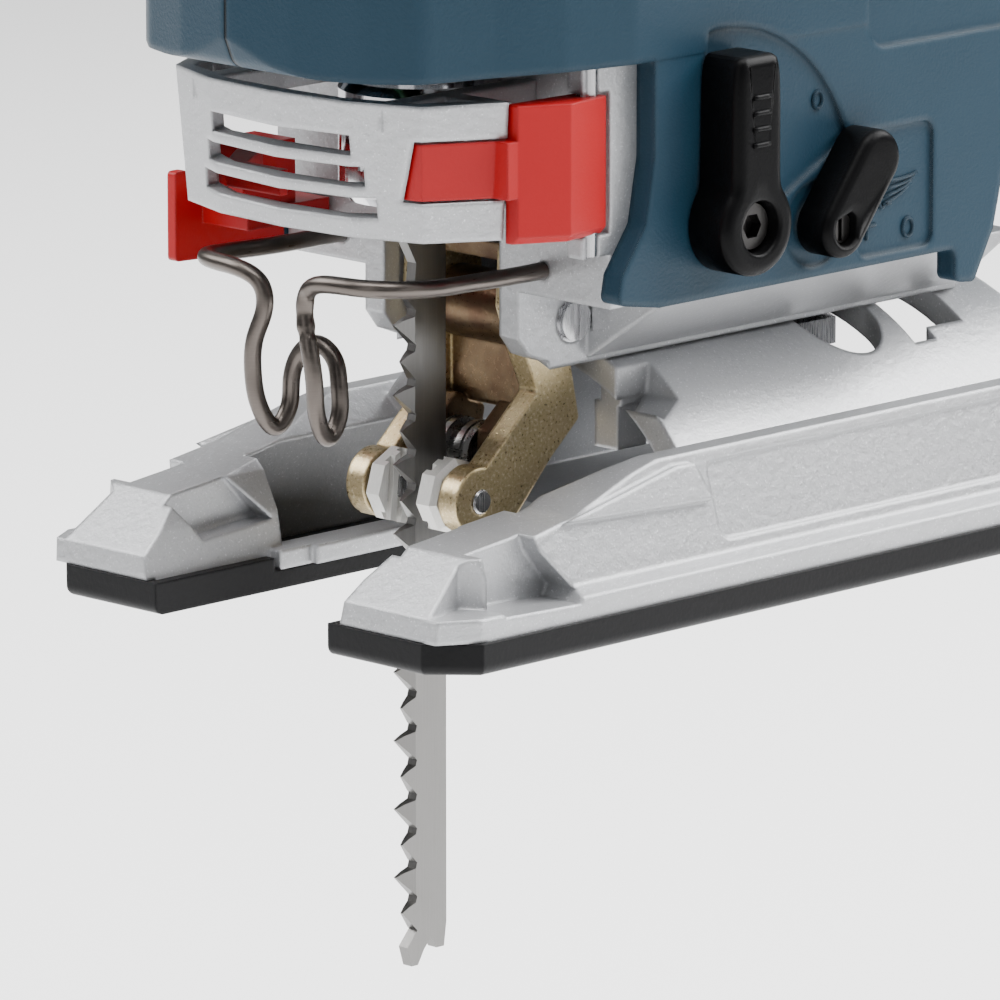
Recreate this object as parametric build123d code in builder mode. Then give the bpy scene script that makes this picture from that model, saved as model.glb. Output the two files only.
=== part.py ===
# Jigsaw power tool, top-handle body, rebuilt as separate moving and fixed pieces.
# Frame: millimetres, +Z up, the blade's teeth look along -X, the rear of the
# tool is +X, the operator's left is -Y. The origin is on the sole plane, on the
# axis the plunger travels along.
from build123d import *
import os
from math import sin, cos, pi

os.makedirs("parts", exist_ok=True)

# ---- driving dimensions ------------------------------------------------------
STROKE = 20.0          # blade stroke: 4 down and 16 up from the modelled pose
YOKE_DROP = 6.0        # how far the modelled pose is below mid-stroke
SOLE_W = 66.9          # full width of the slide-on shoe
SOLE_FRONT = -28.6
SOLE_REAR = 105.0
SHOE_T = 2.2           # floor of the shoe
SHOE_RIM = 3.7         # height its rim climbs round the casting
SLOT_W = 27.6          # blade opening between the two front legs
SADDLE_R = 29.0        # curved seat the body tilts on, about the blade line
SADDLE_IN = 25.8
RUN = 0.30             # gap kept between pieces that move past each other
PIN = 0.05             # radial clearance of a pin that turns in its hole
WALL = 2.8             # housing wall
HEAD_W = 29.3          # half width of the upper body
SKIRT_W = 29.2         # half width of the side panels
CASE_W = 26.4          # half width of the gear case beside the panels
BARREL_R = 31.5        # motor barrel
GRIP_W = 17.5          # half width of the handle loop
GEAR_Z = 114.0         # height of the big gear's axis
GEAR_R = 21.0
PINION_R = 3.1
MOTOR_Z = GEAR_Z - 24.4
CRANK = STROKE / 2
PLUNGER_R = 4.5
CLAMP_R = 9.5
PIVOT = (11.7, 31.8)   # guide fork's pivot, x and z
ROLL = (7.5, 15.8)     # guide roller's axis
ROLL_R = 3.6           # kept clear of the jaws as they close
BOSS = (0.4, 12.1)     # guide fork's round boss, where the side jaws sit
WIRE_R = 1.0           # guard wire
LEVER = (18.0, 44.6)   # orbital lever's pivot
PILL = (33.5, 42.2)    # blower switch's pivot
TRIG = (72.0, 166.0)   # trigger's pivot


def done(part, name):
    part.label = name
    export_step(part, "parts/" + name + ".step")
    print(name, "volume", round(part.volume, 1))


def at_x(x):
    """Plane through x facing +X; sketch axes are Y and Z."""
    return Plane(origin=(x, 0, 0), x_dir=(0, 1, 0), z_dir=(1, 0, 0))


def at_y(y):
    """Plane through y facing -Y; sketch axes are X and Z."""
    return Plane(origin=(0, y, 0), x_dir=(1, 0, 0), z_dir=(0, -1, 0))


def box(x0, x1, y0, y1, z0, z1, mode=Mode.ADD):
    """Box between six limits, added to the part being built."""
    with Locations(((x0 + x1) / 2, (y0 + y1) / 2, (z0 + z1) / 2)):
        Box(abs(x1 - x0), abs(y1 - y0), abs(z1 - z0), mode=mode)


def rod_x(x0, x1, y, z, r, mode=Mode.ADD):
    with BuildSketch(Plane(origin=(x0, y, z), x_dir=(0, 1, 0), z_dir=(1, 0, 0))) as s:
        Circle(r)
    extrude(s.sketch, amount=x1 - x0, mode=mode)


def rod_y(y0, y1, x, z, r, mode=Mode.ADD):
    with BuildSketch(Plane(origin=(x, y0, z), x_dir=(1, 0, 0), z_dir=(0, 1, 0))) as s:
        Circle(r)
    extrude(s.sketch, amount=y1 - y0, mode=mode)


def rod_z(z0, z1, x, y, r, mode=Mode.ADD):
    with BuildSketch(Plane.XY.offset(z0)) as s:
        with Locations((x, y)):
            Circle(r)
    extrude(s.sketch, amount=z1 - z0, mode=mode)


def slab_y(pts, y0, y1, round_=0.0, mode=Mode.ADD):
    """Side outline (x, z) carried from y0 to y1."""
    with BuildSketch(at_y(y1)) as s:
        Polygon(*pts, align=None)
        if round_:
            fillet(s.vertices(), round_)
    extrude(s.sketch, amount=y1 - y0, mode=mode)


def slab_x(pts, x0, x1, round_=0.0, mode=Mode.ADD):
    """Front outline (y, z) carried from x0 to x1."""
    with BuildSketch(at_x(x0)) as s:
        Polygon(*pts, align=None)
        if round_:
            fillet(s.vertices(), round_)
    extrude(s.sketch, amount=x1 - x0, mode=mode)


def both(pts):
    """Half outline with its mirror image across the first coordinate's zero."""
    return pts + [(-a, b) for a, b in reversed(pts) if abs(a) > 1e-6]


# ---- outlines of the body ----------------------------------------------------
head_side = [(-29, 64), (-31.5, 70), (-30.5, 98), (-25, 121), (-15, 139), (-1, 152),
             (16, 163), (74, 160), (74, 64)]
head_plan = [(0, -30.6), (8.7, -28.9), (17, -26), (21.8, -22), (24.4, -13), (27.4, -5), (HEAD_W, 4),
             (HEAD_W, 74)]
head_front = [(HEAD_W, 60), (HEAD_W, 118), (28.2, 134), (24.5, 149), (17.5, 163), (16, 174)]
skirt_side = [(7.2, 68), (7.2, 53), (5.8, 45.6), (2.0, 40.4), (1.4, 37.2), (8, 36.1), (57, 36.1), (57, 32.2),
              (60.2, 31.8), (63.4, 37.6), (66.5, 50), (66.5, 68)]
loop_side = [(-10, 132), (-2, 156), (16, 173), (46, 186), (92, 193), (142, 191),
             (178, 178), (198, 150), (203, 112), (201, 76), (193, 60), (165, 58.5),
             (150, 80), (60, 90), (20, 110)]
hole_side = [(56, 131), (64, 126), (150, 124), (163, 132), (164, 148), (150, 160),
             (104, 163), (66, 156), (55, 145)]
barrel = [(58, 0), (58, 31.5), (150, 31.5), (184, 30), (196, 25), (202, 15), (202, 0)]


def head_mass(inset):
    """Upper body: side, plan and front outlines cut to what they share."""
    with BuildPart() as head:
        with BuildSketch(at_y(0)) as from_side:
            Polygon(*head_side, align=None)
            fillet(from_side.vertices().filter_by(lambda v: v.Z < 65 and v.X < 0), 2.4)
            fillet(from_side.vertices().filter_by(lambda v: 68 < v.Z < 162 and v.X < 10), 5)
            if inset:
                offset(amount=-inset)
        extrude(amount=60, both=True)
        with BuildSketch(Plane.XY.offset(40)) as from_above:
            Polygon(*[(b, a) for a, b in both(head_plan)], align=None)
            fillet(from_above.vertices().filter_by_position(Axis.X, -40, 10), 5)
            if inset:
                offset(amount=-inset)
        extrude(amount=160, mode=Mode.INTERSECT)
        with BuildSketch(at_x(-40)) as from_front:
            Polygon(*both(head_front), align=None)
            fillet(from_front.vertices().filter_by_position(Axis.Z, 100, 150), 12)
            if inset:
                offset(amount=-inset)
        extrude(amount=160, mode=Mode.INTERSECT)
    return head.part


def loop_mass(inset):
    """Handle: a loop with rounded rims round the finger hole."""
    with BuildPart() as loop:
        with BuildSketch(at_y(0)) as outer:
            Polygon(*loop_side, align=None)
            fillet(outer.vertices().filter_by(lambda v: v.Z > 165), 34)
            fillet(outer.vertices().filter_by(lambda v: v.X > 190 and v.Z < 160), 9)
            if inset:
                offset(amount=-inset)
        extrude(amount=GRIP_W - inset, both=True)
        if inset < 2:
            # the hand feels a rounded bar: the long outer edges are softened
            rims = loop.edges().filter_by(lambda e: abs(abs(e.center().Y) - GRIP_W + inset) < 0.01)
            fillet(rims, 7 - inset)
        with BuildSketch(at_y(0)) as hole:
            Polygon(*hole_side, align=None)
            fillet(hole.vertices(), 6)
            if inset:
                offset(amount=inset)
        extrude(amount=60, both=True, mode=Mode.SUBTRACT)
        if not inset:
            ring = loop.faces().filter_by(lambda f: abs(abs(f.center().Y) - GRIP_W) < 0.01)
            inner = [e for f in ring for w in f.inner_wires() for e in w.edges()]
            fillet(inner, 5)
    return loop.part


def barrel_mass(inset):
    """Motor barrel: its outline turned about the motor's axis."""
    pts = [(x - (inset if x > 190 else 0), max(r - inset, 0)) for x, r in barrel]
    with BuildPart() as tube:
        with BuildSketch(Plane(origin=(0, 0, MOTOR_Z), x_dir=(1, 0, 0), z_dir=(0, -1, 0))):
            Polygon(*pts, align=None)
        revolve(axis=Axis((0, 0, MOTOR_Z), (1, 0, 0)))
    return tube.part


# ---- 1  housing, two clamshell halves -----------------------------------------
# x, z and how far each screw pillar reaches sideways to meet the wall
screw_spots = [(-20.5, 92, 24), (2, 145.5, 19), (44, 146, 19), (128, 179, 15),
               (183, 152, 15), (185, 72, 20)]

with BuildPart() as shell:
    add(head_mass(0))
    slab_y(skirt_side, -SKIRT_W, SKIRT_W, 1.0)
    add(barrel_mass(0))
    add(loop_mass(0))
    # rooms inside
    add(head_mass(WALL), mode=Mode.SUBTRACT)
    add(barrel_mass(WALL), mode=Mode.SUBTRACT)
    add(loop_mass(WALL), mode=Mode.SUBTRACT)
    box(0, 66.7, -CASE_W, CASE_W, 30, 68, Mode.SUBTRACT)
    box(40, 70, -26, 26, 69, 112, Mode.SUBTRACT)
    # way out for the blade clamp; the underside stays closed ahead of it
    box(-10.4, 0, -17, 17, 60, 68, Mode.SUBTRACT)
    # pads that hold the motor's field, its rear bearing and the gear case
    for side in (-1, 1):
        box(84, 88, side * 25, side * 29, MOTOR_Z - 9, MOTOR_Z + 9)
        box(104, 108, side * 25, side * 29, MOTOR_Z - 9, MOTOR_Z + 9)
        box(124.5, 133.5, side * 27, side * 29.5, MOTOR_Z - 5.5, MOTOR_Z + 5.5)
        box(20, 30, side * 24, side * 28, 100, 104)
        box(20, 30, side * 24, side * 27, 124, 126)
    with BuildSketch(at_x(149)):
        Polygon((-30, MOTOR_Z - 8), (30, MOTOR_Z - 8), (30, MOTOR_Z + 8), (-30, MOTOR_Z + 8),
                align=None)
    extrude(amount=9)
    rod_x(148, 160, 0, MOTOR_Z, 9.5, Mode.SUBTRACT)
    # air inlets at the back of the barrel, outlets beside the fan
    for k in range(7):
        box(160 + 4.6 * k, 162.6 + 4.6 * k, -40, 40, MOTOR_Z + 9.5, MOTOR_Z + 19, Mode.SUBTRACT)
        box(160 + 4.6 * k, 162.6 + 4.6 * k, -40, 40, MOTOR_Z - 19, MOTOR_Z - 9.5, Mode.SUBTRACT)
    for k in range(5):
        box(44 + 4.8 * k, 46.6 + 4.8 * k, -40, 40, 96, 110, Mode.SUBTRACT)
    # screw pillars
    for x, z, reach in screw_spots:
        rod_y(-reach, reach, x, z, 3.6)
    for x, z, reach in screw_spots:
        rod_y(-40, 12, x, z, 1.9, Mode.SUBTRACT)
        rod_y(-40, -11, x, z, 3.3, Mode.SUBTRACT)
    # openings for the controls, the lamp and the cable gland
    box(66.4, 108, -7, 7, 149, 168, Mode.SUBTRACT)
    for side in (-1, 1):
        y0, y1 = sorted((side * 7.0, side * 15.2))
        rod_y(y0, y1, TRIG[0], TRIG[1], 4.2)
        y0, y1 = sorted((side * 9.6, side * 15.2))
        box(80, 84, y0, y1, 176, 184)
        box(99, 103, y0, y1, 176, 184)
        y0, y1 = sorted((side * 12, side * 15.2))
        box(158, 162, y0, y1, 166, 170)
        y0, y1 = sorted((side * 3.9, side * 15.2))
        rod_y(y0, y1, 32, 170.5, 3.6)
    rod_y(-9.6, 9.6, TRIG[0], TRIG[1], 2.0, Mode.SUBTRACT)
    rod_y(-3.8, 3.8, 32, 170.5, 9.8, Mode.SUBTRACT)
    rod_y(-8, 8, 32, 170.5, 2.0, Mode.SUBTRACT)
    rod_y(-30, -14, 116, 170.5, 4.3, Mode.SUBTRACT)
    rod_x(188, 195, 0, 140, 9.7, Mode.SUBTRACT)
    rod_x(188, 216, 0, 140, 7.0, Mode.SUBTRACT)
    rod_z(60, 67, -16, 0, 3.0, Mode.SUBTRACT)
    rod_y(-32, -20, LEVER[0], LEVER[1], 3.0 + PIN, Mode.SUBTRACT)
    rod_y(-32, -20, PILL[0], PILL[1], 2.4 + PIN, Mode.SUBTRACT)
    # sunk scales under the two levers, blank label field above them
    with BuildSketch(at_y(-SKIRT_W + 0.5)):
        with BuildLine():
            rim = CenterArc((LEVER[0], LEVER[1]), 21.8, 18, 78)
            Line(rim @ 1, (LEVER[0] - 4, LEVER[1]))
            Line((LEVER[0] - 4, LEVER[1]), (LEVER[0], LEVER[1] - 4))
            Line((LEVER[0], LEVER[1] - 4), rim @ 0)
        make_face()
    extrude(amount=4, mode=Mode.SUBTRACT)
    with BuildSketch(at_y(-SKIRT_W + 0.5)):
        with Locations((46.8, 44.4)):
            RectangleRounded(12.6, 14.6, 1.5)
        with Locations((PILL[0], PILL[1])):
            Circle(5)
    extrude(amount=4, mode=Mode.SUBTRACT)
    # blank label field on each side of the head
    for side in (-1, 1):
        with BuildSketch(at_y(side * (HEAD_W - 0.5))):
            with Locations((56, 82.5)):
                RectangleRounded(28, 43, 3)
        extrude(amount=-side * 4, mode=Mode.SUBTRACT)

with BuildPart() as grip:
    add(loop_mass(0))
    add(loop_mass(1.3), mode=Mode.SUBTRACT)
    slab_y([(56, 180), (64, 177), (166, 177), (176, 181), (190, 204), (40, 204)], -20, 20, 3,
           mode=Mode.INTERSECT)
done(grip.part, "handle_grip")

with BuildPart() as left:
    add(shell.part)
    add(grip.part, mode=Mode.SUBTRACT)
    split(bisect_by=Plane.XZ, keep=Keep.TOP)
with BuildPart() as right:
    add(shell.part)
    add(grip.part, mode=Mode.SUBTRACT)
    split(bisect_by=Plane.XZ, keep=Keep.BOTTOM)
for half, name in ((left, "housing_left"), (right, "housing_right")):
    done(half.solids().sort_by(SortBy.VOLUME)[-1], name)

with BuildPart() as housing_screws:
    for x, z, reach in screw_spots:
        rod_y(-11, 12, x, z, 1.9)
        rod_y(-14, -11, x, z, 3.3)
        with BuildSketch(at_y(-14)):
            with Locations((x, z)):
                RegularPolygon(1.5, 6)
        extrude(amount=-1.6, mode=Mode.SUBTRACT)
done(housing_screws.part, "housing_screws")
# ---- 2  gear case: one aluminium casting --------------------------------------
with BuildPart() as case:
    # upper chamber round the big gear, lower block behind the panels
    box(-8, 34, -23.6, 23.6, 74, 139)
    for side in (-1, 1):
        box(-9, -5.6, *sorted((side * 21.7, side * 25)), 70, 140, Mode.SUBTRACT)
    box(3, 34, -24, 24, 64, 76)
    box(3, 62, -CASE_W, CASE_W, 36.2, 62.4)
    box(3, 34, -CASE_W, CASE_W, 60, 66)
    box(-1.3, 3, -26.4, -24, 42.4, 44.8)
    box(-1.3, 3, -26.4, -24, 60.9, 64)
    # flanks that slope in under the panels down to the tilting seat
    slab_x(both([(12.2, 26), (12.2, 27.2), (CASE_W, 36.2)]), 14, 76)
    slab_x([(-12.2, 26), (12.2, 26), (12.2, 46), (-12.2, 46)], 3, 24)
    with BuildSketch(at_x(0)) as seat:
        Circle(SADDLE_R + RUN)
    extrude(amount=90, mode=Mode.SUBTRACT)
    # nose rounded where it comes forward over the blade
    slab_y([(2.9, 26), (2.9, 31), (4.8, 28.6), (8, 27.4), (8, 26)], -13, 13, mode=Mode.SUBTRACT)
    # rear end of the lower rail is cut back at a slant
    slab_y([(68, 40), (80, 40), (80, 26), (77, 26)], -30, 30, mode=Mode.SUBTRACT)
    # fork's slot between the two cheeks, clamp's room above it
    box(2, 22, -9.2, 9.2, 20, 47, Mode.SUBTRACT)
    box(-9, 13.5, -12, 12, 46, 77.6, Mode.SUBTRACT)
    # gear room, pinion's trough, plunger's bore with its two bush seats
    box(-5.5, 31, -21.6, 21.6, 92.6, 135.6, Mode.SUBTRACT)
    rod_x(11.4, 36, 0, MOTOR_Z, 4.0, Mode.SUBTRACT)
    rod_z(70, 94, 0, 0, 6.5, Mode.SUBTRACT)
    rod_x(30, 35, 0, GEAR_Z, 4.0, Mode.SUBTRACT)
    # front bearing's collar on the rear wall
    rod_x(34, 41, 0, MOTOR_Z, 13)
    rod_x(34, 42, 0, MOTOR_Z, 9.5, Mode.SUBTRACT)
    # hollow behind the cheeks, open to the rear
    box(24, 63, -21, 21, 40, 60, Mode.SUBTRACT)
    box(3, 9, 24.7, 27, 36, 43.4, Mode.SUBTRACT)
    rod_z(40, 64, 0.2, -25.5, 1.2, Mode.SUBTRACT)
    box(20, 32, -20, 20, 77, 84, Mode.SUBTRACT)
    # pivot hole across the cheeks, clamp bolt's thread, guard wire's two holes
    rod_y(-13, 13, PIVOT[0], PIVOT[1], 2.5, Mode.SUBTRACT)
    rod_z(26, 42, 54, 0, 3.0, Mode.SUBTRACT)
    for side in (-1, 1):
        rod_x(2, 16, side * 16, 39.2, WIRE_R, Mode.SUBTRACT)
done(case.part, "gear_case")

with BuildPart() as pivot_pin:
    rod_y(-12.2, 12.2, PIVOT[0], PIVOT[1], 2.5)
    rod_y(-12.9, -12.2, PIVOT[0], PIVOT[1], 2.3)
    box(PIVOT[0] - 0.4, PIVOT[0] + 0.4, -14, -12.4, 28, 36, Mode.SUBTRACT)
done(pivot_pin.part, "fork_pivot_pin")

with BuildPart() as bushes:
    for z0, z1 in ((78, 83), (86.5, 92.6)):
        rod_z(z0, z1, 0, 0, 6.5)
        rod_z(z0, z1, 0, 0, PLUNGER_R + 0.03, Mode.SUBTRACT)
done(bushes.part, "plunger_bushes")

with BuildPart() as arbor:
    rod_x(13.6, 34, 0, GEAR_Z, 4.0)
    rod_x(13.0, 13.6, 0, GEAR_Z, 3.4)
done(arbor.part, "gear_arbor")

# ---- 3  gear train and plunger ------------------------------------------------
YOKE_Z = GEAR_Z - YOKE_DROP
CRANK_Y = (CRANK**2 - YOKE_DROP**2) ** 0.5


def gear_teeth(count, tip, root):
    """Tooth outline: points walk root, tip, tip, root for every tooth."""
    pts = []
    for k in range(count):
        for share, radius in ((0.0, root), (0.22, tip), (0.5, tip), (0.72, root)):
            angle = 2 * pi * (k + share) / count
            pts.append((radius * cos(angle), radius * sin(angle)))
    return pts


with BuildPart() as gear:
    with BuildSketch(Plane(origin=(14.5, 0, GEAR_Z), x_dir=(0, 1, 0), z_dir=(1, 0, 0))):
        Polygon(*gear_teeth(52, GEAR_R, GEAR_R - 1.7), align=None)
    extrude(amount=6)
    rod_x(13.6, 26, 0, GEAR_Z, 7.5)
    rod_x(13, 15, 0, GEAR_Z, 17.5)
    with BuildSketch(Plane(origin=(18, 0, GEAR_Z), x_dir=(0, 1, 0), z_dir=(1, 0, 0))):
        Circle(17)
        Circle(10, mode=Mode.SUBTRACT)
    extrude(amount=3, mode=Mode.SUBTRACT)
    rod_x(12, 30, 0, GEAR_Z, 4.0 + PIN, Mode.SUBTRACT)
    rod_x(12, 19, CRANK_Y, YOKE_Z, 3.0, Mode.SUBTRACT)
done(gear.part, "drive_gear")

with BuildPart() as crank_pin:
    rod_x(10.4, 18, CRANK_Y, YOKE_Z, 3.0)
done(crank_pin.part, "crank_pin")

with BuildPart() as plunger:
    rod_z(61, YOKE_Z, 0, 0, PLUNGER_R)
    slab_x([(-17.6, YOKE_Z - 6.6), (17.6, YOKE_Z - 6.6), (17.6, YOKE_Z + 6.6), (-17.6, YOKE_Z + 6.6)],
           -4.9, 10, 2.5)
    # the yoke's slot, where the crank pin would run
    with BuildSketch(at_x(4)):
        with Locations((0, YOKE_Z)):
            SlotOverall(2 * CRANK + 6.6, 6.6)
    extrude(amount=8, mode=Mode.SUBTRACT)
    # tail of the rod that the clamp grips
    rod_z(56, 61, 0, 0, 3.4)
done(plunger.part, "plunger")

with BuildPart() as clamp:
    rod_z(46, 59.6, 0, 0, CLAMP_R)
    chamfer(clamp.edges().filter_by(GeomType.CIRCLE), 1.0)
    rod_z(59.6, 61, 0, 0, 7.0)
    with BuildSketch(Plane.XY.offset(50)):
        with PolarLocations(CLAMP_R + 0.4, 16):
            Circle(0.8)
    extrude(amount=7, mode=Mode.SUBTRACT)
    rod_z(56, 62, 0, 0, 3.4, Mode.SUBTRACT)
    box(-4.0, 3.0, -0.8, 0.8, 45, 52, Mode.SUBTRACT)
    box(-2.5, 1.5, -3.1, 3.1, 52, 56, Mode.SUBTRACT)
    box(-3.2, 3.2, -0.8, 0.8, 52, 56, Mode.SUBTRACT)
done(clamp.part, "blade_clamp")

# toothed edge: every tooth rises forward and is ground thin on alternate sides
TEETH = 19
PITCH = 4.0
tooth_line = []
z = -38.6
for k in range(TEETH):
    tooth_line += [(-1.7, z - 0.2), (-4.1, z + 2.2), (-3.1, z + 2.7), (-1.9, z + 3.1)]
    z += PITCH
with BuildPart() as blade:
    outline = ([(3.0, 47), (3.0, -38.5), (2.6, -41.4), (1.4, -41.4), (0.6, -39.9), (-0.6, -41.2),
                (-1.6, -42.9), (-2.6, -42.9), (-3.3, -40.6)]
               + tooth_line + [(-1.7, 38.6), (-3.6, 42), (-3.6, 47), (-2.5, 52), (-2.5, 52.1),
                               (-2.5, 55.9), (1.5, 55.9), (1.5, 52), (3.0, 50)])
    slab_y(outline, -0.7, 0.7)
    # the shank's two short arms
    box(-2.4, 1.4, -3.0, 3.0, 52.2, 55.6)
    # each tooth is ground to a slant on one side, the next on the other
    for k in range(TEETH):
        side = 1 if k % 2 else -1
        with BuildSketch(Plane.XY.offset(-38.8 + PITCH * k)):
            Polygon((-4.4, -0.9 * side), (-1.5, -0.9 * side), (-1.9, -0.7 * side), (-4.4, 0.5 * side),
                    align=None)
        extrude(amount=PITCH, mode=Mode.SUBTRACT)
done(blade.part, "saw_blade")
# ---- 4  front cover, blade release, guard wire --------------------------------
cover_top = [(0, -23.6), (11, -22.7), (19.4, -19.6), (24.3, -10.8)]
cover_low = [(0, -22.2), (10.5, -21.3), (18.7, -18.5), (23.4, -10.8)]
LOW_Z, TOP_Z = 45.5, 61.0


def cover_body(inset):
    """Tapering cover seen from above: narrow at the bottom, wide at the top."""
    def ring(pts):
        return [(b + inset, a) if a == 0 else (b + inset * 0.7, a - inset) for a, b in pts]
    with BuildPart() as body:
        with BuildSketch(Plane.XY.offset(LOW_Z - (1 if inset else 0))):
            low = ring(cover_low)
            low[-1] = (cover_low[-1][1], low[-1][1])
            Polygon(*[(x, y) for y, x in both([(y, x) for x, y in low])], align=None)
        with BuildSketch(Plane.XY.offset(TOP_Z + (1 if inset else 0))):
            top = ring(cover_top)
            top[-1] = (cover_top[-1][1], top[-1][1])
            Polygon(*[(x, y) for y, x in both([(y, x) for x, y in top])], align=None)
        loft(ruled=True)
    return body.part


with BuildPart() as cover:
    add(cover_body(0))
    add(cover_body(1.8), mode=Mode.SUBTRACT)
    # rear side is open
    box(-12, -9, -18, 18, 44, 62, Mode.SUBTRACT)
    # three louvres whose floors slope down to the front
    for z, half in ((47.6, 13.6), (51.2, 12.4), (54.8, 11.0)):
        slab_y([(-30, z - 1.6), (-30, z + 0.8), (-15, z + 3.8), (-15, z + 1.4)], -half, half,
               mode=Mode.SUBTRACT)
    # window for the lever's strip on the operator's left
    box(-19.6, -9, -30, -15, 50.0, 57.0, Mode.SUBTRACT)
    # two arms that carry the cover on the gear case
    for side in (-1, 1):
        box(-21.2, 3, side * 12.4, side * 15, 57.8, 60.6)
        box(-11.4, -8.8, side * 14, side * 23.0, 57.8, 60.6)
done(cover.part, "front_cover")

with BuildPart() as release:
    # grip the thumb pulls, with an upright ridge down its outside
    with BuildSketch(Plane.XY.offset(45.1)):
        Polygon((-10.4, -25.3), (-5, -28.2), (1.5, -27.2), (1.5, -23.8), (-10.4, -23.4), align=None)
    extrude(amount=15.5)
    chamfer(release.edges().filter_by(Axis.X, tolerance=40).group_by(Axis.Z)[0]
            .filter_by(lambda e: e.center().Y < -26), 0.8)
    # strip lying in the cover's window
    strip_room = Box(9.6, 14, 6.4, mode=Mode.PRIVATE).moved(Location((-14.5, -22, 53.5)))
    add(cover_body(0).intersect(strip_room))
    add(cover_body(1.3), mode=Mode.SUBTRACT)
    box(-12, -9.8, -25.3, -22.4, 50.3, 56.7)
    rod_z(44, 61, 0.2, -25.5, 1.25, Mode.SUBTRACT)
done(release.part, "release_lever")

with BuildPart() as release_pin:
    rod_z(42.6, 63.8, 0.2, -25.5, 1.2)
done(release_pin.part, "release_pin")

with BuildPart() as band:
    # ear on the far side and the flat band that reaches in behind the louvres
    slab_y([(-14.5, 37), (-14.5, 47.3), (-12.6, 47.3), (-11.2, 43.4), (2.6, 40.8), (2.6, 37.4),
            (-4, 36.6)], 25.0, 26.3, 0.5)
    box(-10.3, 2.6, 17.6, 25.0, 41.0, 43.2)
    box(-10.3, -2, 18.4, 25.0, 43.0, 50.5)
    with BuildSketch(Plane.XY.offset(47.6)):
        Polygon((-17.4, 5), (-16.2, 5), (-16.2, 11.6), (-9.0, 16.4), (-9.0, 19.0), (-10.3, 19.0),
                (-17.4, 13.6), align=None)
    extrude(amount=2.9)
done(band.part, "release_band")
# guard wire: up-and-over bows either side of the blade, ends pushed into the case
half_path = [(16, 16, 39.2), (3, 16, 39.2), (-8, 15.8, 39.3), (-17, 15.4, 39.7), (-20.6, 13.6, 40),
             (-21.8, 10, 40), (-22.1, 6.4, 39.8), (-21.7, 3.7, 38.4), (-21.6, 3.2, 36),
             (-22, 4.3, 32.4), (-21.8, 4.9, 28), (-21, 4.6, 24), (-19, 4.2, 21.7),
             (-17.2, 4.0, 23.6), (-16.9, 3.8, 27), (-16.6, 3.0, 29.6), (-16.5, 1.5, 31)]
full_path = half_path + [(-16.5, 0, 31.4)] + [(x, -y, z) for x, y, z in reversed(half_path)]
with BuildPart() as wire:
    with BuildLine():
        Line(full_path[0], full_path[1])
        Spline(*full_path[1:-1], tangents=[(-1, 0, 0), (1, 0, 0)])
        Line(full_path[-2], full_path[-1])
    with BuildSketch(Plane(origin=full_path[0], z_dir=(-1, 0, 0))):
        Circle(WIRE_R)
    sweep()
done(wire.part, "guard_wire")

# ---- 5  blade guide -----------------------------------------------------------
plate_pts = [(6.0, 40.4), (5.6, 33.5), (7.4, 28.3), (9.6, 23.4), (1.2, 15.8), (-1.5, 15.2),
             (-3.0, 13.6), (-3.1, 10.6), (-1.2, 8.4), (3.2, 7.4), (5.2, 8.6), (11.6, 15.4),
             (16.2, 19.4), (14.6, 27.0), (15.6, 34), (15.2, 38.6)]
with BuildPart() as fork:
    for side in (-1, 1):
        y0, y1 = sorted((side * 6.0, side * 8.8))
        slab_y(plate_pts, y0, y1, 0.7)
        rod_y(y0, y1, BOSS[0], BOSS[1], 3.9)
    # web joining the plates behind the blade, bent so the blade's back stays clear
    slab_y([(10.6, 20.6), (14.6, 19.4), (14.0, 27), (10.6, 28.6)], -6.2, 6.2, 0.6)
    slab_y([(7.5, 38.2), (15.0, 37.2), (15.2, 38.6), (6.5, 40.4)], -6.2, 6.2)
    # hollow eye the pivot pin runs through
    rod_y(-8.8, 8.8, PIVOT[0], PIVOT[1], 4.1)
    rod_y(-10, 10, PIVOT[0], PIVOT[1], 2.5 + PIN, Mode.SUBTRACT)
    rod_y(-10, 10, BOSS[0], BOSS[1], 1.45, Mode.SUBTRACT)
    # lugs for the roller's pin
    slab_y([(4.9, 12.4), (12, 12.8), (13.4, 19.5), (9, 21.8), (5.4, 18.8)], -6.2, -3.4, 0.6)
    slab_y([(4.9, 12.4), (12, 12.8), (13.4, 19.5), (9, 21.8), (5.4, 18.8)], 3.4, 6.2, 0.6)
    rod_y(-7, 7, ROLL[0], ROLL[1], 1.5, Mode.SUBTRACT)
    # room for the roller between its lugs
    rod_y(-3.4, 3.4, ROLL[0], ROLL[1], 4.5, Mode.SUBTRACT)
done(fork.part, "guide_fork")

with BuildPart() as roller_pin:
    rod_y(-6.2, 6.2, ROLL[0], ROLL[1], 1.5)
done(roller_pin.part, "roller_pin")

with BuildPart() as roller:
    with BuildSketch(at_y(0)):
        with Locations(ROLL):
            Circle(ROLL_R)
            Circle(1.5 + PIN, mode=Mode.SUBTRACT)
    extrude(amount=2.8, both=True)
    chamfer(roller.edges().filter_by(GeomType.CIRCLE).filter_by(lambda e: e.radius > 3), 0.4)
    # central groove for the blade's back and two oil rings
    for y, w, deep in ((0, 1.9, 1.0), (-2.0, 0.4, 0.35), (2.0, 0.4, 0.35)):
        with BuildSketch(at_y(y + w / 2)):
            with Locations(ROLL):
                Circle(ROLL_R + 1)
                Circle(ROLL_R - deep, mode=Mode.SUBTRACT)
        extrude(amount=w, mode=Mode.SUBTRACT)
done(roller.part, "guide_roller")

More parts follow.
